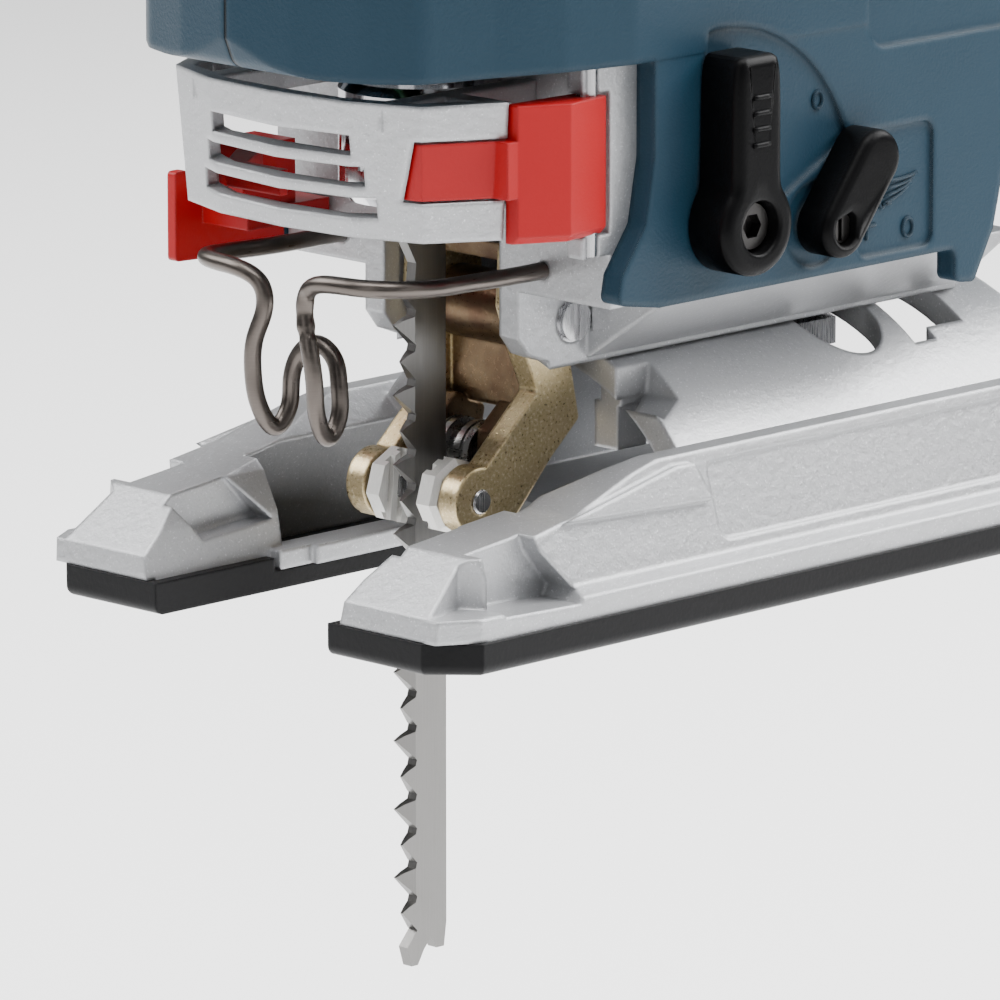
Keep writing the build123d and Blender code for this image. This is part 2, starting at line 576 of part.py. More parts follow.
# side jaws: toothed discs that close on the blade's flanks
for side, word in ((-1, "left"), (1, "right")):
    with BuildPart() as jaw:
        with BuildSketch(at_y(0)):
            with Locations(BOSS):
                RegularPolygon(4.5, 8, rotation=5)
        extrude(amount=-side * 5.6)
        chamfer(jaw.edges().filter_by(lambda e: abs(abs(e.center().Y) - 5.6) < 0.01), 0.6)
        box(-6, 6, 0, side * 3.0, 5, 20, Mode.SUBTRACT)
        # slanting teeth on the gripping face
        for k in range(5):
            x = BOSS[0] - 3.6 + 1.7 * k
            y0, y1 = sorted((side * 2.9, side * 3.7))
            slab_y([(x, BOSS[1] - 4.6), (x + 0.9, BOSS[1] - 4.6), (x + 1.9, BOSS[1] + 4.6),
                    (x + 1.0, BOSS[1] + 4.6)], y0, y1, mode=Mode.SUBTRACT)
        rod_y(side * 2, side * 6, BOSS[0], BOSS[1], 1.4, Mode.SUBTRACT)
    done(jaw.part, "guide_jaw_" + word)
    with BuildPart() as jaw_pin:
        y0, y1 = sorted((side * 3.6, side * 9.2))
        rod_y(y0, y1, BOSS[0], BOSS[1], 1.4)
        chamfer(jaw_pin.edges().filter_by(GeomType.CIRCLE), 0.2)
    done(jaw_pin.part, "jaw_pin_" + word)
# ---- 6  controls on the operator's left panel ---------------------------------
FACE = -SKIRT_W - RUN       # plane the levers' undersides run on
with BuildPart() as orbit:
    # arm: slender and flat, boss round and deeper
    with BuildSketch(at_y(FACE)):
        with Locations(LEVER):
            Circle(5.6)
        with Locations((LEVER[0], LEVER[1] + 8.5)):
            Rectangle(7.2, 17)
        with Locations((LEVER[0], LEVER[1] + 16.4)):
            RectangleRounded(7.2, 6, 1.6)
    extrude(amount=5.4)
    chamfer(orbit.faces().sort_by(Axis.Y)[0].edges(), 0.7)
    with BuildSketch(at_y(FACE - 5.4)):
        with Locations(LEVER):
            Circle(4.9)
    extrude(amount=0.9)
    # finger ribs on the arm's outer face
    for k in range(4):
        box(LEVER[0] - 2.0, LEVER[0] + 1.2, FACE - 5.7, FACE - 5.3, LEVER[1] + 6.4 + 1.7 * k,
            LEVER[1] + 7.1 + 1.7 * k)
    # shaft through the panel, deep well for the screw
    rod_y(FACE, -CASE_W - RUN, LEVER[0], LEVER[1], 3.0)
    rod_y(FACE - 8, FACE - 2.0, LEVER[0], LEVER[1], 2.9, Mode.SUBTRACT)
done(orbit.part, "orbital_lever")

with BuildPart() as orbit_screw:
    rod_y(FACE - 4.4, FACE - 2.0, LEVER[0], LEVER[1], 2.6)
    with BuildSketch(at_y(FACE - 4.4)):
        with Locations(LEVER):
            RegularPolygon(1.5, 6)
    extrude(amount=-1.4, mode=Mode.SUBTRACT)
done(orbit_screw.part, "orbital_screw")

with BuildPart() as pill:
    tip = (PILL[0] + 5.6, PILL[1] + 7.2)
    with BuildSketch(at_y(FACE)):
        with Locations(((PILL[0] + tip[0]) / 2, (PILL[1] + tip[1]) / 2)):
            SlotCenterToCenter(9.1, 6.6, rotation=52)
    extrude(amount=4.6)
    chamfer(pill.faces().sort_by(Axis.Y)[0].edges(), 0.9)
    rod_y(FACE, -CASE_W - RUN, PILL[0], PILL[1], 2.4)
    rod_y(FACE - 6, FACE - 2.4, PILL[0], PILL[1], 1.9, Mode.SUBTRACT)
done(pill.part, "blower_switch")

with BuildPart() as pill_screw:
    rod_y(FACE - 3.4, FACE - 2.4, PILL[0], PILL[1], 1.8)
    box(PILL[0] - 0.3, PILL[0] + 0.3, FACE - 4, FACE - 2.9, PILL[1] - 1.5, PILL[1] + 1.5,
        Mode.SUBTRACT)
done(pill_screw.part, "blower_screw")

# ---- 7  handle: trigger, lock button, speed wheel, switch, cable gland --------
with BuildPart() as trigger:
    slab_y([(69, 170), (68.4, 160), (73, 153.6), (90, 151.4), (102, 153.8), (104.4, 160),
            (104, 168), (88, 170)], -6.6, 6.6, 1.2)
    rod_y(-6.6, 6.6, TRIG[0], TRIG[1], 2.0 + PIN, Mode.SUBTRACT)
    # curved rest for the finger, grooved
    for k in range(6):
        box(76 + 4 * k, 77 + 4 * k, -4.5, 4.5, 150, 152.6, Mode.SUBTRACT)
done(trigger.part, "trigger")

with BuildPart() as trigger_pin:
    rod_y(-9.6, 9.6, TRIG[0], TRIG[1], 2.0)
done(trigger_pin.part, "trigger_pin")

with BuildPart() as switch:
    box(74, 108, -9.6, 9.6, 175, 186.4)
    box(94, 98, -2.5, 2.5, 173.6, 175)
    for k in range(3):
        box(108, 110, -7 + 5 * k, -5 + 5 * k, 177, 181)
done(switch.part, "switch_module")

with BuildPart() as button:
    rod_y(-20.6, -10.4, 116, 170.5, 4.0)
    chamfer(button.edges().filter_by(GeomType.CIRCLE).sort_by(Axis.Y)[0], 0.7)
    rod_y(-13.4, -10.4, 116, 170.5, 5.2)
done(button.part, "lock_button")

with BuildPart() as dial:
    with BuildSketch(at_y(0)):
        with Locations((32, 170.5)):
            Circle(9.4)
            with PolarLocations(9.4, 30):
                Circle(0.45, mode=Mode.SUBTRACT)
            Circle(2.0 + PIN, mode=Mode.SUBTRACT)
    extrude(amount=3.4, both=True)
done(dial.part, "speed_wheel")

with BuildPart() as dial_pin:
    rod_y(-8, 8, 32, 170.5, 2.0)
done(dial_pin.part, "speed_wheel_pin")

with BuildPart() as gland:
    rod_x(192, 194.5, 0, 140, 9.5)
    rod_x(194.5, 214, 0, 140, 7.0)
    for k in range(3):
        with BuildSketch(Plane(origin=(203 + 3.4 * k, 0, 140), x_dir=(0, 1, 0), z_dir=(1, 0, 0))):
            Circle(7.6)
            Circle(5.6, mode=Mode.SUBTRACT)
        extrude(amount=1.5, mode=Mode.SUBTRACT)
    rod_x(190, 216, 0, 140, 4.2, Mode.SUBTRACT)
done(gland.part, "cord_gland")

with BuildPart() as lens:
    rod_z(63.2, 67.4, -16, 0, 3.0)
    chamfer(lens.edges().filter_by(GeomType.CIRCLE).sort_by(Axis.Z)[0], 0.6)
done(lens.part, "led_lens")

with BuildPart() as led_board:
    box(-22, -10, -8, 8, 67.4, 68.8)
done(led_board.part, "led_board")

with BuildPart() as electronics:
    box(150, 176, -12, 12, 167, 168.6)
    box(153, 161, -8, 8, 168.6, 173)
    rod_z(168.6, 174, 169, 0, 4.0)
done(electronics.part, "speed_electronics")

with BuildPart() as duct:
    box(62, 64, -22, 22, 38.4, 61.6)
    rod_x(64, 88, 0, 48.6, 8.2)
    rod_x(60, 90, 0, 48.6, 6.6, Mode.SUBTRACT)
done(duct.part, "dust_port")
# ---- 8  base ------------------------------------------------------------------
LEG = [(15.2, 2.2), (16.4, 8.5), (18.6, 12.8), (24.6, 18.4), (27.4, 18.4), (31.0, 7.2), (33.0, 6.2),
       (33.0, 2.2)]
LEG_SIDE = [(-27.0, 2.2), (-27.0, 3.75), (-28.4, 3.75), (-28.2, 6.4), (-21.2, 12.0), (-13, 12.9),
            (-5, 14.3), (5, 17.4), (10, 18.5), (84, 18.5), (92, 6.7), (100, 6.7), (100, 2.2)]
flank = Plane(origin=(50, -29.2, 12.8), x_dir=(1, 0, 0), z_dir=(0, -0.952, 0.306))
STOP_FRONT = 18.4      # front of the stop blocks, clear of the fork swung fully back
WEB_IN = 13.0          # inner side of the low webs beside the blade


def leg():
    """The leg on the operator's left: its section carried back, trimmed to its side outline."""
    with BuildPart() as one:
        with BuildSketch(at_x(-28.4)) as section:
            Polygon(*[(-y, z) for y, z in LEG], align=None)
            fillet(section.vertices().filter_by(lambda v: v.Z > 18), 1.1)
            fillet(section.vertices().filter_by(lambda v: 7 < v.Z < 8), 0.8)
        extrude(amount=128.4)
        with BuildSketch(at_y(0)):
            Polygon(*LEG_SIDE, align=None)
        extrude(amount=40, mode=Mode.INTERSECT)
        # nose: the outer corner is bevelled, more so above the upright band
        with BuildSketch(Plane.XY):
            Polygon((-29, -25.4), (-29, -34), (-22, -34), (-23.2, -32.6), align=None)
        extrude(amount=SHOE_RIM + 0.05, mode=Mode.SUBTRACT)
        with BuildSketch(Plane.XY.offset(SHOE_RIM)):
            Polygon((-29, -30.0), (-29, -34), (-23.0, -34), (-23.6, -33.1), align=None)
        extrude(amount=14, mode=Mode.SUBTRACT)
        with BuildSketch(Plane.XY.offset(6.4)):
            Polygon((-29, -29.4), (-29, -34), (-17, -34), (-20.2, -30.2), (-22, -27.6),
                    align=None)
        extrude(amount=8, mode=Mode.SUBTRACT)
        # pocket in the outer shoulder behind the nose, dished pocket in the inner one
        slab_y([(-20.2, 14), (-12.2, 14), (-11.2, 11.4), (-7.4, 6.9), (-8.2, 5.6), (-20.2, 6.0)],
               -34, -26.8, mode=Mode.SUBTRACT)
        slab_y([(-25.0, 14.2), (-15.6, 15.4), (-8.0, 7.6), (-19.0, 6.8)], -19.0, -15.0,
               mode=Mode.SUBTRACT)
        # blank sunk panel along the flank, wedge rib ahead of it
        with BuildSketch(flank):
            RectangleRounded(66, 9.0, 1.6)
        extrude(amount=-0.45, mode=Mode.SUBTRACT)
        with BuildSketch(flank) as rib:
            Polygon((-57.0, 1.1), (-38.5, 4.7), (-35.6, 4.6), (-33.9, 0.1), align=None)
            fillet(rib.vertices().filter_by(lambda v: v.X > 10), 0.7)
        extrude(amount=1.0)
        extrude(rib.sketch, amount=-2.0)
    return one.part


near_leg = leg()
with BuildPart() as base:
    add(near_leg)
    add(near_leg.mirror(Plane.XZ))
    # saddle: a curved seat about the blade line, hollow below
    with BuildSketch(at_x(17.4)):
        Circle(SADDLE_R)
        with Locations((0, -40)):
            Rectangle(120, 86, mode=Mode.SUBTRACT)
    extrude(amount=66.6)
    with BuildSketch(at_x(-7)):
        Circle(SADDLE_IN)
    extrude(amount=140, mode=Mode.SUBTRACT)
    box(-40, 14, -SLOT_W / 2 - 1.4, SLOT_W / 2 + 1.4, 0, 30, Mode.SUBTRACT)
    # rear slope of the saddle
    slab_y([(84, 16), (78, 40), (120, 40), (120, 6.7), (92, 6.7)], -40, 40, mode=Mode.SUBTRACT)
    # floor between the flanks behind the blade opening
    box(30, 100, -33.0, 33.0, 2.2, 4.2)
    # slots in the seat: one for the clamp bolt, one stepped for the tilt stops
    with BuildSketch(Plane.XY.offset(15)):
        with Locations((54.5, 0)):
            SlotOverall(36, 12, rotation=90)
        with Locations((67.6, 0)):
            Rectangle(9.4, 33)
        with Locations((64.4, 0)):
            Rectangle(3.6, 36)
    extrude(amount=20, mode=Mode.SUBTRACT)
    # stop blocks under the saddle's front edge and the six-sided notch above them
    for side in (-1, 1):
        box(STOP_FRONT, 23, *sorted((side * 10.2, side * 13.4)), 21, 25.4)
        box(STOP_FRONT, 23, *sorted((side * 9.2, side * 12.9)), 15.9, 21.3)
        with BuildSketch(at_y(side * 13.6)):
            with Locations((18.8, 24.8)):
                RegularPolygon(4.3, 6, rotation=20)
        extrude(amount=-side * 9, mode=Mode.SUBTRACT)
        # low webs beside the blade, running back from the legs
        box(-9, 15, *sorted((side * WEB_IN, side * 17.2)), SHOE_T, 4.4)
    # blade opening, fence slot across both flanks, seat for the bevel lever
    box(-40, -4, -SLOT_W / 2, SLOT_W / 2, 0, 8, Mode.SUBTRACT)
    box(15, 30, -SLOT_W / 2, SLOT_W / 2, 0, 8, Mode.SUBTRACT)
    box(88, 96.4, -40, 40, 2.2, 5.4, Mode.SUBTRACT)
    box(84, 101, -12, 12, 4.2, 9.4, Mode.SUBTRACT)
    rod_z(2.2, 12, 90, 0, 2.5, Mode.SUBTRACT)
done(base.part, "base_casting")

# black slide-on shoe: floor with a low rim
with BuildPart() as shoe:
    hw = SOLE_W / 2
    with BuildSketch(Plane.XY):
        Polygon((-24, hw), (SOLE_REAR - 4, hw), (SOLE_REAR, hw - 4), (SOLE_REAR, -hw + 4),
                (SOLE_REAR - 4, -hw), (-24, -hw), (SOLE_FRONT, -hw + 5),
                (SOLE_FRONT, hw - 5), align=None)
    extrude(amount=SHOE_RIM)
    # seat for the casting
    with BuildSketch(Plane.XY.offset(SHOE_T)):
        Polygon((-23, 33.0), (100, 33.0), (100, -33.0), (-23, -33.0), (-27.2, -27.9),
                (-27.2, 27.9), align=None)
    extrude(amount=5, mode=Mode.SUBTRACT)
    # blade opening, open to the front
    box(-40, 28, -SLOT_W / 2, SLOT_W / 2, -1, 10, Mode.SUBTRACT)
    rod_z(-1, 10, 28, 0, SLOT_W / 2, Mode.SUBTRACT)
    for side in (-1, 1):
        box(-28, -10, *sorted((side * SLOT_W / 2, side * 15.2)), 2.2, SHOE_RIM)
        box(88, 96.4, *sorted((side * 32, side * 40)), 2.2, 5.4, Mode.SUBTRACT)
    fillet(shoe.edges().group_by(Axis.Z)[0].filter_by(lambda e: abs(e.center().Y) > 25
           or e.center().X > 100 or e.center().X < -26), 1.2)
    for side in (-1, 1):
        for x in (20, 60, 96):
            rod_z(-1, 5, x, side * 22, 1.6, Mode.SUBTRACT)
            rod_z(-1, 1.2, x, side * 22, 3.0, Mode.SUBTRACT)
done(shoe.part, "base_shoe")

with BuildPart() as shoe_screws:
    for side in (-1, 1):
        for x in (20, 60, 96):
            rod_z(0.3, 1.2, x, side * 22, 3.0)
            rod_z(1.2, 2.2, x, side * 22, 1.6)
            box(x - 0.3, x + 0.3, side * 22 - 2, side * 22 + 2, 0, 0.8, Mode.SUBTRACT)
done(shoe_screws.part, "shoe_screws")

# curved clamp plate under the seat, its bolt, and the lever at the rear
with BuildPart() as clamp_plate:
    with BuildSketch(at_x(47)):
        Circle(SADDLE_IN - RUN)
        Circle(SADDLE_IN - RUN - 3, mode=Mode.SUBTRACT)
        with Locations((0, 0)):
            Rectangle(14, 80, mode=Mode.INTERSECT)
        with Locations((0, -30)):
            Rectangle(80, 80, mode=Mode.SUBTRACT)
    extrude(amount=14)
    rod_z(18, 28, 54, 0, 3.0, Mode.SUBTRACT)
done(clamp_plate.part, "tilt_clamp_plate")

with BuildPart() as clamp_bolt:
    rod_z(19, 40, 54, 0, 3.0)
    with BuildSketch(Plane.XY.offset(18.4)):
        with Locations((54, 0)):
            RegularPolygon(5.4, 6)
    extrude(amount=3.6)
done(clamp_bolt.part, "tilt_clamp_bolt")

with BuildPart() as bevel:
    rod_z(4.5, 9.0, 90, 0, 7.0)
    with BuildSketch(Plane.XY.offset(4.5)):
        Polygon((90, -6), (104, -4.6), (126, -4.6), (129, -2), (129, 2), (126, 4.6), (104, 4.6),
                (90, 6), align=None)
    extrude(amount=4.5)
    rod_z(3, 10, 90, 0, 2.5 + PIN, Mode.SUBTRACT)
    for k in range(4):
        box(110 + 3.6 * k, 111.4 + 3.6 * k, -3.4, 3.4, 8.5, 9.5, Mode.SUBTRACT)
done(bevel.part, "bevel_lever")

with BuildPart() as bevel_pin:
    rod_z(2.2, 9.3, 90, 0, 2.5)
    rod_z(9.3, 11, 90, 0, 5.0)
done(bevel_pin.part, "bevel_lever_pin")
# ---- 9  motor -----------------------------------------------------------------
with BuildPart() as stator:
    rod_x(68, 112, 0, MOTOR_Z, 28.4)
    with BuildSketch(at_x(60)):
        with Locations((0, MOTOR_Z)):
            Rectangle(50, 60)
    extrude(amount=60, mode=Mode.INTERSECT)
    rod_x(60, 120, 0, MOTOR_Z, 18.4, Mode.SUBTRACT)
    for side in (-1, 1):
        box(60, 120, side * 12, side * 19, MOTOR_Z - 5, MOTOR_Z + 5, Mode.SUBTRACT)
done(stator.part, "motor_field")

with BuildPart() as coils:
    for x0, x1 in ((61, 68), (112, 118)):
        for s in (-1, 1):
            with BuildSketch(at_x(x0)):
                with Locations((0, MOTOR_Z)):
                    Circle(26)
                    Circle(19.6, mode=Mode.SUBTRACT)
                with Locations((0, MOTOR_Z - s * 28)):
                    Rectangle(70, 70, mode=Mode.SUBTRACT)
            extrude(amount=x1 - x0)
done(coils.part, "field_coils")

with BuildPart() as shaft:
    rod_x(33, 158, 0, MOTOR_Z, 3.5)
    with BuildSketch(Plane(origin=(12, 0, MOTOR_Z), x_dir=(0, 1, 0), z_dir=(1, 0, 0))):
        Polygon(*gear_teeth(9, PINION_R, PINION_R - 0.9), align=None)
    extrude(amount=14)
    rod_x(26, 33, 0, MOTOR_Z, 2.9)
done(shaft.part, "armature_shaft")

with BuildPart() as core:
    with BuildSketch(at_x(70)):
        with Locations((0, MOTOR_Z)):
            Circle(17.8)
            with PolarLocations(17.4, 12):
                Rectangle(3.2, 1.3, mode=Mode.SUBTRACT)
            Circle(3.5, mode=Mode.SUBTRACT)
    extrude(amount=40)
done(core.part, "armature_core")

with BuildPart() as windings:
    for x0, x1 in ((64, 70), (110, 118)):
        rod_x(x0, x1, 0, MOTOR_Z, 15.5)
    rod_x(60, 120, 0, MOTOR_Z, 3.5, Mode.SUBTRACT)
    box(70, 110, -20, 20, MOTOR_Z - 20, MOTOR_Z + 20, Mode.SUBTRACT)
done(windings.part, "armature_windings")

with BuildPart() as commutator:
    with BuildSketch(at_x(122)):
        with Locations((0, MOTOR_Z)):
            Circle(10)
            with PolarLocations(10, 24):
                Rectangle(1.6, 0.4, mode=Mode.SUBTRACT)
            Circle(3.5, mode=Mode.SUBTRACT)
    extrude(amount=14)
done(commutator.part, "commutator")

with BuildPart() as fan:
    rod_x(45, 57, 0, MOTOR_Z, 7)
    rod_x(45, 47, 0, MOTOR_Z, 25)
    with BuildSketch(at_x(47)):
        with Locations((0, MOTOR_Z)):
            with PolarLocations(16.5, 13):
                Rectangle(16, 1.6, rotation=35)
    extrude(amount=8)
    with BuildSketch(at_x(45)):
        with Locations((0, MOTOR_Z)):
            Circle(25)
    extrude(amount=14, mode=Mode.INTERSECT)
    rod_x(40, 60, 0, MOTOR_Z, 3.5, Mode.SUBTRACT)
done(fan.part, "cooling_fan")

with BuildPart() as front_bearing:
    rod_x(34, 41, 0, MOTOR_Z, 9.5)
    rod_x(30, 45, 0, MOTOR_Z, 3.5 + PIN, Mode.SUBTRACT)
    for x in (34, 40.4):
        with BuildSketch(Plane(origin=(x, 0, MOTOR_Z), x_dir=(0, 1, 0), z_dir=(1, 0, 0))):
            Circle(7.8)
            Circle(5.4, mode=Mode.SUBTRACT)
        extrude(amount=0.6, mode=Mode.SUBTRACT)
done(front_bearing.part, "front_bearing")

with BuildPart() as rear_bearing:
    rod_x(150, 157, 0, MOTOR_Z, 9.5)
    rod_x(148, 160, 0, MOTOR_Z, 3.5 + PIN, Mode.SUBTRACT)
    for x in (150, 156.4):
        with BuildSketch(Plane(origin=(x, 0, MOTOR_Z), x_dir=(0, 1, 0), z_dir=(1, 0, 0))):
            Circle(7.8)
            Circle(5.4, mode=Mode.SUBTRACT)
        extrude(amount=0.6, mode=Mode.SUBTRACT)
done(rear_bearing.part, "rear_bearing")

with BuildPart() as holders:
    for s in (-1, 1):
        box(124.5, 133.5, *sorted((s * 12, s * 27)), MOTOR_Z - 5.5, MOTOR_Z + 5.5)
        box(126, 132, *sorted((s * 10, s * 25)), MOTOR_Z - 4, MOTOR_Z + 4, Mode.SUBTRACT)
done(holders.part, "brush_holders")

with BuildPart() as brushes:
    for s in (-1, 1):
        box(126, 132, *sorted((s * 10.35, s * 19)), MOTOR_Z - 4, MOTOR_Z + 4)
        rod_y(s * 19, s * 25, 129, MOTOR_Z, 2.4)
done(brushes.part, "carbon_brushes")
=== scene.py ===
# %% [markdown]
# # A jigsaw in a studio
# A jigsaw is a case full of mechanism with a blade hanging out of it. The solid
# model already holds every piece at its true size, so this lesson is about the
# other half: surfaces. We load the solids, give each one the finish its maker
# gave it, add the small formed parts that a solid model leaves plain, and light
# the whole like a catalogue shot.

# %% Load the solid model
import math
import bpy
import numpy as np
from mathutils import Matrix


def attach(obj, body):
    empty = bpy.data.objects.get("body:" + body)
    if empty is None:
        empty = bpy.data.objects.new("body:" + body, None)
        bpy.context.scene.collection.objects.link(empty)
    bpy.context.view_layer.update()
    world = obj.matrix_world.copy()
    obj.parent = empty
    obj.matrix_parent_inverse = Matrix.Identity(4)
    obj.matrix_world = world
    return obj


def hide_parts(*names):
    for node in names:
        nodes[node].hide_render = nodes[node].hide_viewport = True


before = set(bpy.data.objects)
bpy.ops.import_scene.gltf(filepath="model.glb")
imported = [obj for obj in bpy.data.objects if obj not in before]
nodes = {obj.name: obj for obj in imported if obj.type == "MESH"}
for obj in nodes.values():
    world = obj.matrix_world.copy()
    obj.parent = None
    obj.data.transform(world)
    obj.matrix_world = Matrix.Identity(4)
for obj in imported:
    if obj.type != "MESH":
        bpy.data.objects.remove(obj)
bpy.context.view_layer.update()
MM = 0.001

# %% [markdown]
# ## Camera
# A long lens flattens perspective, which is how tools are usually pictured: the
# far leg of the base looks almost as large as the near one. The camera stands
# ahead and to the left of the saw, a little above the base. We place it from
# three numbers (turn, tilt, distance) round a point near the blade.

# %% Place the camera
TURN = math.radians(-45.35)
TILT = math.radians(12.32)
DISTANCE = 1.141
LENS = 362.6
AIM_RIGHT, AIM_UP = 8.722 * MM, 10.761 * MM

right = np.array([math.cos(TURN), math.sin(TURN), 0.0])
toward = np.array([math.sin(TURN) * math.cos(TILT), -math.cos(TURN) * math.cos(TILT),
                   math.sin(TILT)])
up = np.cross(toward, right)
place = AIM_RIGHT * right + AIM_UP * up + DISTANCE * toward

camera_data = bpy.data.cameras.new("camera")
camera_data.lens = LENS
camera_data.sensor_width = 36.0
camera_data.clip_start = 0.05
camera_data.clip_end = 20.0
camera = bpy.data.objects.new("camera", camera_data)
bpy.context.scene.collection.objects.link(camera)
turn = np.eye(4)
turn[:3, 0], turn[:3, 1], turn[:3, 2], turn[:3, 3] = right, up, toward, place
camera.matrix_world = Matrix(turn.tolist())
bpy.context.scene.camera = camera
print("camera stands at", np.round(place, 3))

# %% [markdown]
# ## Floor and light
# Catalogue light is large and soft. One broad panel overhead models the tops, and
# two weak ones, ahead and beside the camera, fill the walls. Metal shows what it
# mirrors: the saddle and the flanks of the base turn towards a panel high behind
# the saw, and the noses of the legs towards one on the far side, so those two are
# strong. A dim, pale world fills what is left.

# %% Floor and world
def flat_sheet(name, corners, material):
    """One flat face from its corners, given in order round the face."""
    mesh = bpy.data.meshes.new(name)
    mesh.from_pydata(corners, [], [tuple(range(len(corners)))])
    piece = bpy.data.objects.new(name, mesh)
    bpy.context.scene.collection.objects.link(piece)
    mesh.materials.append(material)
    return piece


def plain(name, color, rough):
    """A finish of one colour and one gloss, for the paper under the saw."""
    made = bpy.data.materials.new(name)
    made.use_nodes = True
    shader = made.node_tree.nodes["Principled BSDF"]
    shader.inputs["Base Color"].default_value = (*color, 1)
    shader.inputs["Roughness"].default_value = rough
    return made


FLOOR_Z, FLOOR_HALF = -0.16, 4.0
floor_corners = [(-FLOOR_HALF, -FLOOR_HALF, FLOOR_Z), (FLOOR_HALF, -FLOOR_HALF, FLOOR_Z),
                 (FLOOR_HALF, FLOOR_HALF, FLOOR_Z), (-FLOOR_HALF, FLOOR_HALF, FLOOR_Z)]
floor = flat_sheet("floor", floor_corners, plain("floor_paper", (0.93, 0.93, 0.93), 0.9))

world = bpy.data.worlds.new("studio")
world.use_nodes = True
sky = world.node_tree.nodes["Background"]
sky.inputs["Color"].default_value = (0.97, 0.98, 1.0, 1)
sky.inputs["Strength"].default_value = 0.15
bpy.context.scene.world = world
print("floor at", FLOOR_Z, "world strength", sky.inputs["Strength"].default_value)

# %% Lamps
def panel_light(name, spot, target, size, power):
    """A rectangular lamp of that power in watts, at spot, whose face looks at target."""
    lamp = bpy.data.lights.new(name, "AREA")
    lamp.shape = "RECTANGLE"
    lamp.size, lamp.size_y = size
    lamp.energy = power
    made = bpy.data.objects.new(name, lamp)
    bpy.context.scene.collection.objects.link(made)
    look = np.array(spot, float) - np.array(target, float)
    look /= np.linalg.norm(look)
    side = np.cross([0, 0, 1], look)
    side /= np.linalg.norm(side)
    stand = np.eye(4)
    stand[:3, 0], stand[:3, 1] = side, np.cross(look, side)
    stand[:3, 2], stand[:3, 3] = look, spot
    made.matrix_world = Matrix(stand.tolist())


middle = (0.03, 0.0, 0.04)
panel_light("top_panel", (-0.10, -0.10, 1.20), middle, (1.4, 1.1), 40.0)
panel_light("front_panel", (-1.25, -0.35, 0.42), middle, (0.7, 0.8), 2.0)
panel_light("near_panel", (0.25, -1.3, 0.40), middle, (0.8, 0.5), 1.6)
panel_light("rear_panel", (0.88, -0.20, 0.74), middle, (1.6, 0.7), 44.0)
panel_light("far_panel", (-0.50, 0.95, 0.80), middle, (0.8, 0.7), 14.0)

# %% [markdown]
# ## A small kit for finishes
# Every finish below is a network of nodes on the Principled shader. Grain
# drives three things, as it does on a real surface: a little of the colour, a
# little of the gloss, and the relief.

